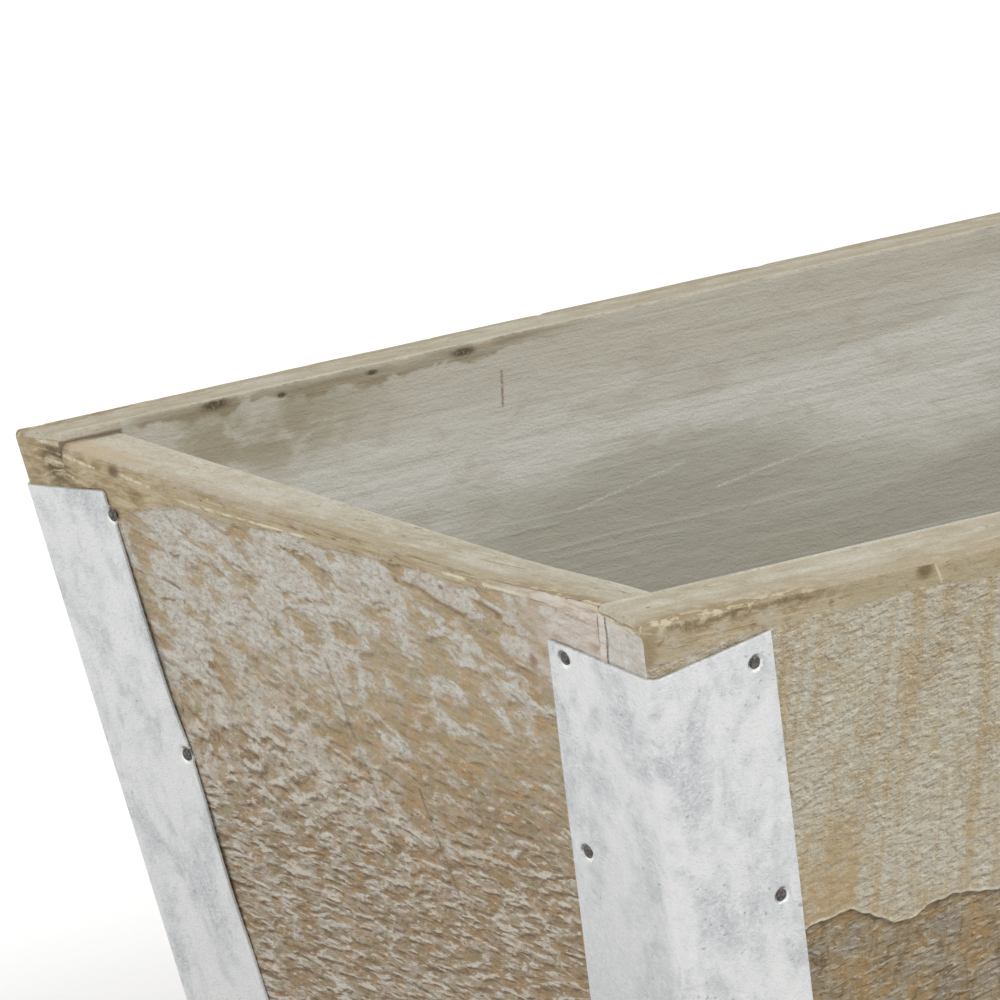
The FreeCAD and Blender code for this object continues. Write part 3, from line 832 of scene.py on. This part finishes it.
def build_wall(wall, wear, relief, fine, coarse, fine_to, material, step=None, inner_wear=None, crown=None):
    """Sweeps the board's worn section from end to end.

    wear(a) gives the round-over's reach over the rim and down the face at places along the rim.
    relief(a, p) is how far the outside lies below its plane. step(a) is where a torn layer ends.
    crown(a) is how far the rim rises above its level cut.
    """
    half_top = float(wall.half(0.0, 0.0))
    shift = wall.span / 2
    end_round = ARRIS if wall.long else END_EASE
    turns = np.radians([0, 18, 36, 54, 72, 90]) if wall.long else np.radians([0, 45, 90])
    body = stations(2 * half_top, fine_to, fine, coarse, end_round * 1.3)
    # (distance from the end at the rim, inset of the section)
    lead = [(end_round * (1 - math.sin(t)), end_round * (1 - math.cos(t))) for t in turns[::-1]]
    places = [p for p, _ in lead] + list(body) + [2 * half_top - p for p, _ in lead[::-1]]
    insets = [i for _, i in lead] + [0.0] * len(body) + [i for _, i in lead[::-1]]
    places, insets = np.array(places), np.array(insets)
    share = places / half_top - 1
    a = share * half_top + shift

    over, under = wear(a)
    in_over, in_under = inner_wear(a) if inner_wear else (0.45 + 0.1 * fractal(a / 5, a * 0, 5),
                                                          0.5 + 0.12 * fractal(a / 6, a * 0, 6))
    rows_q, rows_p, zones = [], [], []

    def add(q, p, zone):
        rows_q.append(q + 0 * a)
        rows_p.append(p + 0 * a)
        zones.append(np.array(zone))

    def band_weight(p):
        wide = band_width(wall, a)
        return 1 - smooth(wide * 0.75, wide * 1.25, p)

    zero = 0 * a
    low = wall.foot(0.0) - FOOT_EASE
    # Outer face from the foot to the rim
    if step is None:
        shares = np.concatenate([np.linspace(0, 1, 62)[:-1] * 0.86, 0.86 + 0.14 * np.linspace(0, 1, 24)])
        for w in shares:
            p = low + (under - low) * w
            add(zero, p, (zero, zero, band_weight(p), zero))
    else:
        edge = step(a)
        for w in np.linspace(0, 1, 40):
            p = low + (edge + 0.28 - low) * w
            add(zero, p, (zero, zero, zero, zero))
        for w in np.concatenate([np.linspace(0, 0.78, 26), 0.78 + 0.22 * np.linspace(0, 1, 24)[1:]]):
            p = (edge - 0.1) + (under - (edge - 0.1)) * w
            add(zero, p, (zero, zero, band_weight(p), zero))
    outer_rows = len(rows_q)
    # Round-over at the outside of the rim
    for turn in np.radians(np.linspace(0, 90, 11))[1:]:
        q = over * (1 - np.cos(turn))
        p = wall.top(q) + under * (1 - np.sin(turn))
        light = smooth(0.55, 1.0, np.sin(turn) + zero)
        add(q, p, (light, zero, 1 - light, zero))
    for w in np.linspace(0, 1, 9)[1:-1]:
        q = over + (BOARD - in_over - over) * w
        add(q, wall.top(q), (1 + zero, zero, zero, zero))
    for turn in np.radians(np.linspace(0, 90, 6)):
        q = BOARD - in_over * (1 - np.sin(turn))
        p = wall.top(q) + in_under * (1 - np.cos(turn))
        grey = smooth(0.2, 1.0, np.sin(turn) + zero)
        add(q, p, (1 - grey, grey, zero, zero))
    inner_low = wall.foot(BOARD) - FOOT_EASE
    inner_top = wall.top(BOARD) + in_under
    for w in np.concatenate([np.linspace(0, 0.12, 14)[1:], np.linspace(0.12, 1, 26)[1:]]):
        p = inner_top + (inner_low - inner_top) * w
        add(BOARD + zero, p, (zero, 1 + zero, zero, zero))
    for deep, inside in ((BOARD - FOOT_EASE, 1), (BOARD / 2, 1), (FOOT_EASE, 0)):
        add(deep, wall.foot(deep), (zero, inside + zero, zero, zero))

    q, p = np.array(rows_q), np.array(rows_p)
    zone = np.stack(zones, axis=-1)  # 4, stations, rows
    # Sink the rough outside below its plane, fading into the rim
    fade = np.ones(len(q))
    fade[outer_rows:outer_rows + 10] = np.linspace(0.9, 0.0, 10)
    fade[outer_rows + 10:] = 0
    sink = relief(a[None, :], p) * fade[:, None]
    if step is not None:
        sink[:outer_rows] += np.where(p[:outer_rows] > step(a)[None, :], TEAR, 0.0) * tear_depth(a)[None, :]
    q = q + sink
    # Round the ends: pull the section in from the outside, the rim and the foot
    if wall.long:
        q = insets[None, :] + q * (1 - insets[None, :] / BOARD)
        rim_in = insets[None, :] * 0.9
        top_here = wall.top(q)
        long_here = wall.foot(q) - top_here
        p = top_here + rim_in + (p - top_here) * (1 - (rim_in + insets[None, :] * 0.4) / long_here)
    raised = p
    if crown is not None:
        # The raised rim stands plumb, not leaning on past the box
        raised = p - crown(a)[None, :] * (1 - smooth(0, 14, p))
        q = np.maximum(q, RIM_IN - raised * math.tan(wall.lean))
    along = share[None, :] * wall.half(raised, q)
    points = wall.world(along, raised, q).reshape(-1, 3)
    rows, columns = q.shape
    faces = []
    flip = wall.side in ("front", "right")
    for k in range(rows):
        k2 = (k + 1) % rows
        base, base2 = k * columns, k2 * columns
        for c in range(columns - 1):
            quad = (base + c, base + c + 1, base2 + c + 1, base2 + c)
            faces.append(quad if flip else quad[::-1])
    cap_low = [k * columns for k in range(rows)]
    cap_high = [k * columns + columns - 1 for k in range(rows)]
    faces.append(cap_low if flip else cap_low[::-1])
    faces.append(cap_high[::-1] if flip else cap_high)
    piece = make_object(wall.name, points, faces, material)

    store(piece, "wood", "FLOAT_VECTOR", "vector", np.stack([along + shift, p, q], axis=-1))
    if step is not None:
        # Past the place where the tear reaches the foot, the face counts as whole
        whole = 20 * smooth(TEAR_LENGTH - 12, TEAR_LENGTH, a)
        store(piece, "step", "FLOAT", "value", p - step(a)[None, :] - whole[None, :])
    mesh = piece.data
    loops = np.empty(len(mesh.loops), dtype=np.int32)
    mesh.loops.foreach_get("vertex_index", loops)
    values = np.transpose(zone, (2, 1, 0)).reshape(-1, 4)[loops]
    for polygon in mesh.polygons[-2:]:
        values[polygon.loop_start:polygon.loop_start + polygon.loop_total] = (0, 0, 0, 1)
    store(piece, "zone", "FLOAT_COLOR", "color", values, "CORNER")
    return piece


def band_width(wall, a):
    """How far the smooth worn band reaches down the face."""
    if wall.side == "left":
        far = smooth(30, 140, a)
        return 2.4 + 3.4 * far + 5.5 * smooth(112, 140, a) + 1.4 * fractal(a / 9, a * 0, 21)
    return 4.4 + 1.5 * (1 - smooth(6, 26, a)) + 0.9 * fractal(a / 8, a * 0, 23)


def left_wear(a):
    """The end rim: crisp and splintered near the near corner, broadly rounded at the far one."""
    far = smooth(52, 118, a)
    chip = smooth(0.35, 0.6, fractal(a / 3.2, a * 0, 31)) * (1 - far) * smooth(15, 22, a)
    over = 0.3 + 0.2 * smooth(14, 20, a) + 1.5 * far + 0.25 * fractal(a / 4, a * 0, 32) + 0.9 * chip
    under = 0.7 + 2.3 * far + 0.35 * fractal(a / 5, a * 0, 33) + 1.1 * chip
    return np.clip(over, 0.3, 4), np.clip(under, 0.4, 5)


def front_wear(a):
    """The near long rim: worn round by the corner, chipped for a stretch, then crisp with a nick."""
    corner = 1 - smooth(2, 16, a)
    chipped = smooth(7, 10, a) * (1 - smooth(24, 29, a))
    chip = smooth(-0.1, 0.4, fractal(a / 4.5, a * 0, 41)) * chipped
    nick = smooth(56.2, 56.8, a) * (1 - smooth(58.6, 60.5, a))
    small = smooth(0.4, 0.65, fractal(a / 4.5, a * 0, 44))
    ragged = fractal(a / 2.0, a * 0, 46) * (1 - smooth(26, 36, a))
    over = 0.6 + 1.3 * corner + 1.3 * chip + 0.2 * fractal(a / 4, a * 0, 42)
    over += 1.1 * nick + 0.5 * small + 0.5 * ragged
    under = 0.8 + 1.9 * corner + 2.0 * chip + 0.3 * fractal(a / 5, a * 0, 43)
    under += 2.4 * nick + 0.6 * small + 0.9 * ragged
    return np.clip(over, 0.3, 4), np.clip(under, 0.4, 5)


def plain_wear(a):
    chip = smooth(0.3, 0.6, fractal(a / 4, a * 0, 51))
    over = 0.8 + 0.3 * fractal(a / 6, a * 0, 52) + 0.8 * chip
    under = 1.1 + 0.4 * fractal(a / 7, a * 0, 53) + 1.2 * chip
    return np.clip(over, 0.3, 4), np.clip(under, 0.4, 5)


def back_inner_wear(a):
    """The far board's inner arris is chipped for some way from the left end."""
    stretch = smooth(20, 30, a) * (1 - smooth(78, 96, a))
    chip = smooth(-0.1, 0.5, fractal(a / 5, a * 0, 61)) * stretch
    over = 0.4 + 0.1 * fractal(a / 5, a * 0, 62) + 0.5 * chip
    under = 0.45 + 0.12 * fractal(a / 6, a * 0, 63) + 1.7 * chip
    return np.clip(over, 0.2, 3), np.clip(under, 0.25, 4)


def rough_face(a, p):
    """Gentle hollows left by the saw; always below the plane of the board."""
    wave = fractal(a / 14, p / 9, 71) * 0.1 + fractal(a / 3.2, p / 1.6, 72, 2) * 0.07
    return 0.14 + wave


def end_rough_face(a, p):
    """The same hollows, fading out beside the joints with the long boards."""
    return 0.02 + rough_face(a, p) * smooth(11.6, 17, a) * (1 - smooth(135, 140.4, a))


def end_crown(a):
    """The end rim stands up to the long board's higher inner edge at the near corner."""
    return CROWN * (1 - smooth(12, 46, a))


# The torn layer's lower edge, as places along and down the front board
TEAR_LINE = ((0, 57), (30, 57.5), (38.3, 55.6), (43.1, 54.8), (46.8, 54.6), (50.8, 56.4), (55, 58.5),
             (57.9, 58.5), (64, 56.3), (66, 56.1), (69.8, 56.2), (75.7, 57.1), (84, 59.5), (96, 57),
             (110, 60), (130, 66), (146, 64), (158, 74), (172, 79), (188, 95), (200, 101), (212, 119),
             (405, 120))
# The places near the seen corner spread a little about the board's middle
TEAR_SPREAD = 1.071


def front_step(a):
    """Where the front board's torn surface layer ends, down from the rim."""
    known_a, known_p = np.array(TEAR_LINE).T
    line = np.interp(a, (known_a - LENGTH / 2) * TEAR_SPREAD + LENGTH / 2, known_p)
    fray = 0.45 * fractal(a / 2.2, a * 0, 81) + 0.25 * fractal(a / 0.9, a * 0, 83)
    wander = 1.4 * fractal(a / 9, a * 0, 82)
    return line + fray + wander * smooth(76, 90, a) * (1 - smooth(TEAR_LENGTH - 12, TEAR_LENGTH, a))


def tear_depth(a):
    return smooth(10, 22, a) * (1 - smooth(TEAR_LENGTH - 16, TEAR_LENGTH, a))


walls = {
    "left": Wall("end_board_left_worn", "left", END_LEAN, False),
    "right": Wall("end_board_right_worn", "right", END_LEAN, False),
    "front": Wall("front_board_worn", "front", SIDE_LEAN, True),
    "back": Wall("back_board_worn", "back", SIDE_LEAN, True),
}
end_material = wood("whitewashed_end", "end")
front_material = wood("whitewashed_front", "front")
back_material = wood("whitewashed_back", "back")
pieces = {
    "left_end_board": build_wall(walls["left"], left_wear, end_rough_face, 0.8, 2.0, 128, end_material,
                                 crown=end_crown),
    "right_end_board": build_wall(walls["right"], plain_wear, end_rough_face, 1.6, 2.0, 10, end_material),
    "front_board": build_wall(walls["front"], front_wear, rough_face, 0.8, 2.6, 100, front_material,
                              front_step),
    "back_board": build_wall(walls["back"], plain_wear, rough_face, 1.0, 2.6, 120, back_material, None,
                             back_inner_wear),
}
for node, piece in pieces.items():
    stand_in(piece, node)


# Corner straps

def corner_frame(sx, sy):
    """The corner at the rim, the fold's direction, and each face's outward and in-face directions."""
    top = Vector((sx * LENGTH / 2, sy * WIDTH / 2, HEIGHT))
    fold = Vector((-sx * math.tan(END_LEAN), -sy * math.tan(SIDE_LEAN), -1)).normalized()
    end_out = Vector((sx * math.cos(END_LEAN), 0, -math.sin(END_LEAN)))
    side_out = Vector((0, sy * math.cos(SIDE_LEAN), -math.sin(SIDE_LEAN)))
    end_in = end_out.cross(fold).normalized()
    if end_in.y * sy > 0:
        end_in.negate()
    side_in = side_out.cross(fold).normalized()
    if side_in.x * sx > 0:
        side_in.negate()
    return top, fold, end_out, side_out, end_in, side_in


CORNERS = {"front_left": (-1, -1), "front_right": (1, -1), "back_left": (-1, 1), "back_right": (1, 1)}
NAIL_MARGIN = 3.5
# How far each row of nails stands from the fold, and their shares of the row's run
OTHER_SHARES = (19.4, (0.006, 0.328, 0.66, 0.985))
SHARES = {
    ("front_left", "end"): (19.9, (0.0, 0.315, 0.65, 0.985)),
    ("front_left", "side"): (19.1, (0.018, 0.397, 0.705, 0.975)),
    ("back_left", "end"): (21.15, (0.0, 0.375, 0.795, 0.985)),
}


def nail_places(name):
    run = FOLD_RUN - 2 * (INSET + NAIL_MARGIN)
    places = []
    for leg in ("end", "side"):
        across, shares = SHARES.get((name, leg), OTHER_SHARES)
        places += [(leg, across, INSET + NAIL_MARGIN + share * run) for share in shares]
    return places


# The far-left strap's end leg, as places down the fold and widths
FAR_LEG_WIDTHS = ((8, 20.5), (10.5, 20.4), (12.5, 20.9), (14, 21.2), (30, 21.4), (42, 21.5), (50, 22.2),
                  (60, 22.5), (75, 22.1), (125, 23))


def leg_width(name, leg, down):
    """Each leg's width at places down the fold; the shears wandered a little."""
    if name == "back_left" and leg == "end":
        return np.interp(down, *np.array(FAR_LEG_WIDTHS).T)
    wide = END_LEG if leg == "end" else SIDE_LEG
    wander = {"front_left": 0.1, "front_right": 0.22, "back_left": 0.18, "back_right": 0.25}[name]
    return wide + wander * fractal(down / 31, down * 0, len(name) + len(leg) * 5, 2)


def build_strap(name, material):
    """A folded strip of sheet with a soft bend, cut edges and a dimple at each nail."""
    sx, sy = CORNERS[name]
    top, fold, end_out, side_out, end_in, side_in = (np.array(v) for v in corner_frame(sx, sy))
    cosine = float(np.dot(end_out, side_out))
    turn = math.acos(cosine)
    tangent = CORNER * math.tan(turn / 2)
    centre = -(end_out + side_out) * CORNER / (1 + cosine)
    seed = 100 + sx * 7 + sy * 3
    nails = nail_places(name)
    near_nail = np.arange(-2.1, 2.2, 0.3)

    def leg_columns(leg, wide):
        """Shares of a leg's width, close together beside the nails and at the cut edge."""
        places = list(np.linspace(tangent, wide, 24)) + [wide - 0.13, wide - 0.35]
        first_nails = nails[:1] + nails[4:5]
        places += [across + step for which, across, _ in first_nails if which == leg for step in near_nail]
        places = np.unique(np.round([p for p in places if tangent <= p <= wide], 2))
        return (places - tangent) / (wide - tangent)

    end_shares, side_shares = leg_columns("end", END_LEG)[::-1], leg_columns("side", SIDE_LEG)
    bend = np.linspace(0, 1, 13)[1:-1]
    leg = np.concatenate([-np.ones(len(end_shares)), np.zeros(len(bend)), np.ones(len(side_shares))])
    share = np.concatenate([end_shares, bend, side_shares])
    run = FOLD_RUN - 2 * INSET
    rows = list(np.linspace(0, 1, 96)) + [0.0012, 0.003, 0.997, 0.9988]
    rows += [(down - INSET - 1.1 + step) / (run - 2.2) for _, _, down in nails for step in near_nail * 1.25]
    rows = np.unique(np.round([v for v in rows if 0 <= v <= 1], 4))

    def sheet(lift_share, inset):
        """Points of one side of the sheet, rows by columns; inset draws in its cut edges."""
        v, s, which = rows[:, None], share[None, :], leg[None, :]
        rough_down = INSET + v * run
        wide = np.where(which < 0, leg_width(name, "end", rough_down),
                        leg_width(name, "side", rough_down)) - inset
        off = np.where(which == 0, tangent * np.abs(1 - 2 * s), tangent + (wide - tangent) * s)
        leg_end = (which < 0) | ((which == 0) & (s < 0.5))
        away = off / np.where(leg_end, END_LEG, SIDE_LEG)
        skew = STRAP_SKEW * away
        head, foot = INSET + skew, FOLD_RUN - INSET - skew
        if name == "back_left":
            clipped = INSET - 0.45 * away + np.clip(off - 20.0, 0, 5)
            head = np.where(which < 0, clipped, head)
        head = head + 0.12 * fractal(off / 6 + np.where(leg_end, 50, 0), off * 0, seed) + inset
        foot = foot + 0.12 * fractal(off / 6 + np.where(leg_end, 90, 20), off * 0, seed) - inset
        down = head + (foot - head) * v
        warp = lattice(down / 23, np.where(leg_end, 5.0, 9.0) + 0 * down, seed)
        lift = 0.02 + 0.035 * away ** 2 * (1 + warp)
        lift = lift + 0.01 * fractal(down / 6, off / 6 + np.where(leg_end, 50, 0), seed + 5)
        if name == "back_left":
            upper = np.sin(np.pi * np.clip((down - 12.4) / 40, 0, 1))
            between = upper + 0.8 * np.sin(np.pi * np.clip((down - 52.4) / 33, 0, 1))
            lift = lift + np.where(which < 0, 0.42 * between * away ** 4, 0)
        dent, dimple_highlight_and_shade = np.zeros_like(down), np.zeros_like(down)
        for nail_leg, across, nail_down in nails:
            gap = np.hypot(off - across, down - nail_down)
            here = (which < 0) if nail_leg == "end" else (which > 0)
            ridge = 0.03 * np.exp(-((gap - 2.1) / 0.5) ** 2)
            dent += np.where(here, DIMPLE * (1 - smooth(1.1, 1.8, gap)) - ridge, 0)
            # Painted highlight and shade around each dimple: positive towards the ring's lower right,
            # negative towards its upper left
            rightward = (off - across) * (-1 if nail_leg == "end" else 1)
            aim = (rightward * 0.6 + (down - nail_down)) / np.maximum(gap, 0.2)
            ring = smooth(0.85, 1.05, gap) * (1 - smooth(1.35, 1.6, gap))
            dimple_highlight_and_shade += np.where(here, ring * np.clip(aim, -1, 1), 0)
        height = (lift + SHEET * lift_share - dent)[..., None]
        base = top + fold * down[..., None]
        flat_end = base + end_in * off[..., None] + end_out * height
        flat_side = base + side_in * off[..., None] + side_out * height
        angle = (turn * s)[..., None]
        normal = (end_out * np.sin(turn - angle) + side_out * np.sin(angle)) / math.sin(turn)
        curved = base + centre + normal * (CORNER + height)
        which = which[..., None]
        points = np.where(which < 0, flat_end, np.where(which > 0, flat_side, curved))
        developed = np.where(leg[None, :] == 0, (s - 0.5) * CORNER * turn, leg[None, :] * off)
        return points, np.stack([developed, down + 300 * (sx + 2 * sy), 0 * down, dimple_highlight_and_shade], axis=-1)

    layers = [sheet(0.0, 0.0), sheet(0.8, 0.0), sheet(1.0, CUT_EASE)]
    total, count = len(rows), len(share)
    rim = [(0, j) for j in range(count)] + [(i, count - 1) for i in range(1, total)]
    rim += [(total - 1, j) for j in range(count - 2, -1, -1)] + [(i, 0) for i in range(total - 2, 0, -1)]
    grid = total * count
    picked = [i * count + j for i, j in rim]
    points = np.concatenate([layers[0][0].reshape(-1, 3), layers[2][0].reshape(-1, 3),
                             layers[1][0].reshape(-1, 3)[picked]])
    places = np.concatenate([layers[0][1].reshape(-1, 4), layers[2][1].reshape(-1, 4),
                             layers[1][1].reshape(-1, 4)[picked]])
    faces = []
    for i in range(total - 1):
        for j in range(count - 1):
            a, b, c, d = i * count + j, i * count + j + 1, (i + 1) * count + j + 1, (i + 1) * count + j
            faces.append((grid + a, grid + b, grid + c, grid + d))
            faces.append((a, d, c, b))
    ring = len(rim)
    for k in range(ring):
        k2 = (k + 1) % ring
        faces.append((picked[k], picked[k2], 2 * grid + k2, 2 * grid + k))
        faces.append((2 * grid + k, 2 * grid + k2, grid + picked[k2], grid + picked[k]))
    if sx * sy < 0:
        faces = [f[::-1] for f in faces]
    piece = make_object("strap_sheet_" + name, points * MM, faces, material, 50.0)
    store(piece, "strap", "FLOAT_VECTOR", "vector", places[:, :3])
    # The painted highlight and shade around each nail dimple
    store(piece, "dimple", "FLOAT", "value", places[:, 3])
    stand_in(piece, "strap_" + name)


# A nail from the middle of its head to its point, as radii and heights
NAIL_OUTLINE = ((0, 0.46), (0.36, 0.46), (0.66, 0.41), (0.88, 0.31), (1, 0.18), (0.96, 0.04),
                (0.62, -0.08), (0.62, -7.2), (0, -8.8))


def build_nails(name, material):
    """Small crowned nail heads pressed into the sheet, each tilted a little its own way."""
    sx, sy = CORNERS[name]
    top, fold, end_out, side_out, end_in, side_in = corner_frame(sx, sy)
    points, faces = [], []
    for number, (leg, across, down) in enumerate(nail_places(name)):
        normal, inward = (end_out, end_in) if leg == "end" else (side_out, side_in)
        seed = number * 3.7 + sx * 11 + sy * 5
        tilt = (inward * math.sin(seed) + fold * math.cos(seed * 1.7)) * 0.07
        axis = (normal + tilt).normalized()
        side = axis.cross(fold).normalized()
        other = axis.cross(side)
        stands = 0.24 if name == "back_left" and leg == "end" else 0.06
        origin = top + fold * down + inward * across + normal * stands
        start = len(points)
        for radius, height in NAIL_OUTLINE:
            if radius == 0:
                points.append(origin + axis * height)
                continue
            for k in range(NAIL_SIDES):
                angle = 2 * math.pi * k / NAIL_SIDES
                wobble = 1 + 0.03 * math.sin(3 * angle + seed)
                spoke = side * math.cos(angle) + other * math.sin(angle)
                points.append(origin + axis * height + spoke * radius * wobble)
        rings = [start + 1 + NAIL_SIDES * r for r in range(len(NAIL_OUTLINE) - 2)]
        tip = rings[-1] + NAIL_SIDES
        for k in range(NAIL_SIDES):
            k2 = (k + 1) % NAIL_SIDES
            faces.append((start, rings[0] + k, rings[0] + k2))
            for low, high in zip(rings, rings[1:]):
                faces.append((low + k, high + k, high + k2, low + k2))
            faces.append((rings[-1] + k, tip, rings[-1] + k2))
    piece = make_object("nail_heads_" + name, [p * MM for p in points], faces, material, 50.0)
    stand_in(piece, "strap_nails_" + name)


metal = sheet_metal()
nail_material = dark_steel("nail_steel", (0.2, 0.18, 0.17), (0.05, 0.045, 0.04))
brad_material = dark_steel("brad_steel", (0.5, 0.48, 0.45), (0.3, 0.28, 0.25))
for name in CORNERS:
    build_strap(name, metal)
    build_nails(name, nail_material)

# Carried-over solids with their own materials
for node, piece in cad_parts.items():
    material = None
    if node == "bottom_board":
        material = base_wood()
    elif "brads" in node:
        material = brad_material
    if material:
        piece.data.materials.clear()
        piece.data.materials.append(material)


# Stage: plain pale floor and soft studio light

def build_stage():
    size = 30.0
    mesh = bpy.data.meshes.new("floor")
    mesh.from_pydata([(-size, -size, 0), (size, -size, 0), (size, size, 0), (-size, size, 0)], [],
                     [(0, 1, 2, 3)])
    floor = bpy.data.objects.new("floor", mesh)
    floor.location.z = -0.0002
    bpy.context.scene.collection.objects.link(floor)
    s = Shader("floor")
    s.put(s.shader, "Base Color", (0.9, 0.9, 0.9, 1.0))
    s.put(s.shader, "Roughness", 0.9)
    s.put(s.shader, "Specular IOR Level", 0.0)
    glow = s.add("Emission", {"Strength": s.add("LightPath", output="Is Camera Ray") * 0.22})
    s.put(s.output, "Surface", s.add("AddShader", {0: Tone(s, s.shader), 1: glow}))
    mesh.materials.append(s.material)

    world = bpy.data.worlds.new("studio")
    bpy.context.scene.world = world
    world.use_nodes = True
    nodes, links = world.node_tree.nodes, world.node_tree.links
    light = nodes["Background"]
    light.inputs["Color"].default_value = (1.0, 1.0, 1.0, 1.0)
    light.inputs["Strength"].default_value = 0.62
    seen = nodes.new("ShaderNodeBackground")
    seen.inputs["Color"].default_value = (1.0, 1.0, 1.0, 1.0)
    seen.inputs["Strength"].default_value = 1.0
    path = nodes.new("ShaderNodeLightPath")
    both = nodes.new("ShaderNodeMixShader")
    links.new(path.outputs["Is Camera Ray"], both.inputs[0])
    links.new(light.outputs[0], both.inputs[1])
    links.new(seen.outputs[0], both.inputs[2])
    links.new(both.outputs[0], nodes["World Output"].inputs["Surface"])


def area_light(name, place, target, size, power):
    data = bpy.data.lights.new(name, "AREA")
    data.shape = "DISK"
    data.size = size
    data.energy = power
    lamp = bpy.data.objects.new(name, data)
    lamp.location = place
    aim = Vector(target) - Vector(place)
    lamp.rotation_mode = "QUATERNION"
    lamp.rotation_quaternion = aim.to_track_quat("-Z", "Y")
    bpy.context.scene.collection.objects.link(lamp)


build_stage()
area_light("key", (1.0, -2.0, 2.2), (0, 0, 0.06), 1.4, 42)
area_light("fill", (-2.4, 0.4, 1.6), (0, 0, 0.06), 1.6, 24)

bpy.context.scene.view_settings.view_transform = "Standard"
